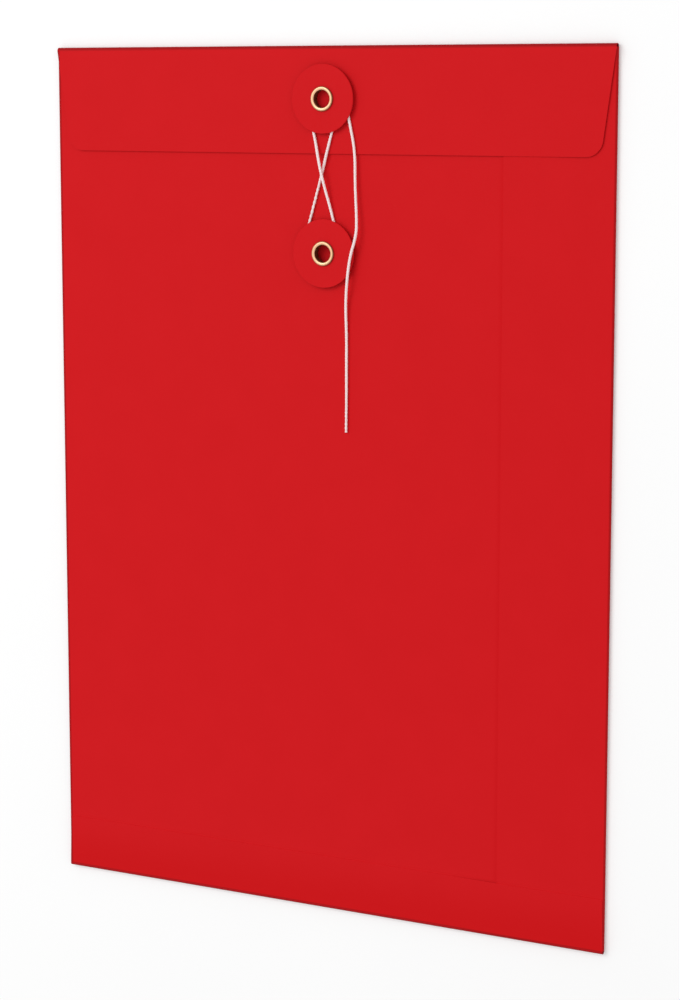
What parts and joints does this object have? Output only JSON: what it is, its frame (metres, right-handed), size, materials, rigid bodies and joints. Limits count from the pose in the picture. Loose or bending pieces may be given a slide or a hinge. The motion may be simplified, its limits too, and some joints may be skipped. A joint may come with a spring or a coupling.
{
  "type": "string tie envelope",
  "caption": "Paper pocket envelope with an overlapped side seam and a flap tied shut by a string wound in a figure of eight under two riveted board washers.",
  "frame": {"origin": "under the middle of the envelope, on the outer face of the back panel that it lies on", "axes": "+Y up the envelope towards its top fold, +X to the right seen from the flap side, +Z out of the flap side"},
  "size_m": [0.229, 0.324, 0.0049],
  "materials": {
    "red_paper": "matte",
    "red_board": "matte",
    "brass": "satin",
    "white_string": "matte",
    "dry_glue": "matte"
  },
  "bodies": {
    "pocket": {"back_panel": "red_paper", "wide_front_panel": "red_paper", "narrow_front_panel": "red_paper", "left_fold": "red_paper", "right_fold": "red_paper", "bottom_fold": "red_paper", "bottom_flap": "red_paper", "bottom_glue": "dry_glue", "seam_glue": "dry_glue", "flap_fold": "red_paper", "lower_eyelet": "brass"},
    "flap": {"closing_flap": "red_paper", "upper_eyelet": "brass", "string_winding": "white_string", "string_tail": "white_string"},
    "upper_disc": {"upper_washer": "red_board"},
    "lower_disc": {"lower_washer": "red_board"}
  },
  "joints": [
    {"name": "flap_hinge", "type": "hinge", "parent": "pocket", "child": "flap", "pos_m": [0, 0.16082, 0.00118], "axis": [-1, 0, 0], "range_deg": [0, 150], "deforming": ["flap_fold", "string_winding", "string_tail"]},
    {"name": "upper_washer_spin", "type": "hinge", "parent": "flap", "child": "upper_disc", "pos_m": [0.00145, 0.1429, 0.0039], "axis": [0, 0, 1], "continuous": true},
    {"name": "lower_washer_spin", "type": "hinge", "parent": "pocket", "child": "lower_disc", "pos_m": [0.00145, 0.0869, 0.00325], "axis": [0, 0, 1], "continuous": true}
  ]
}
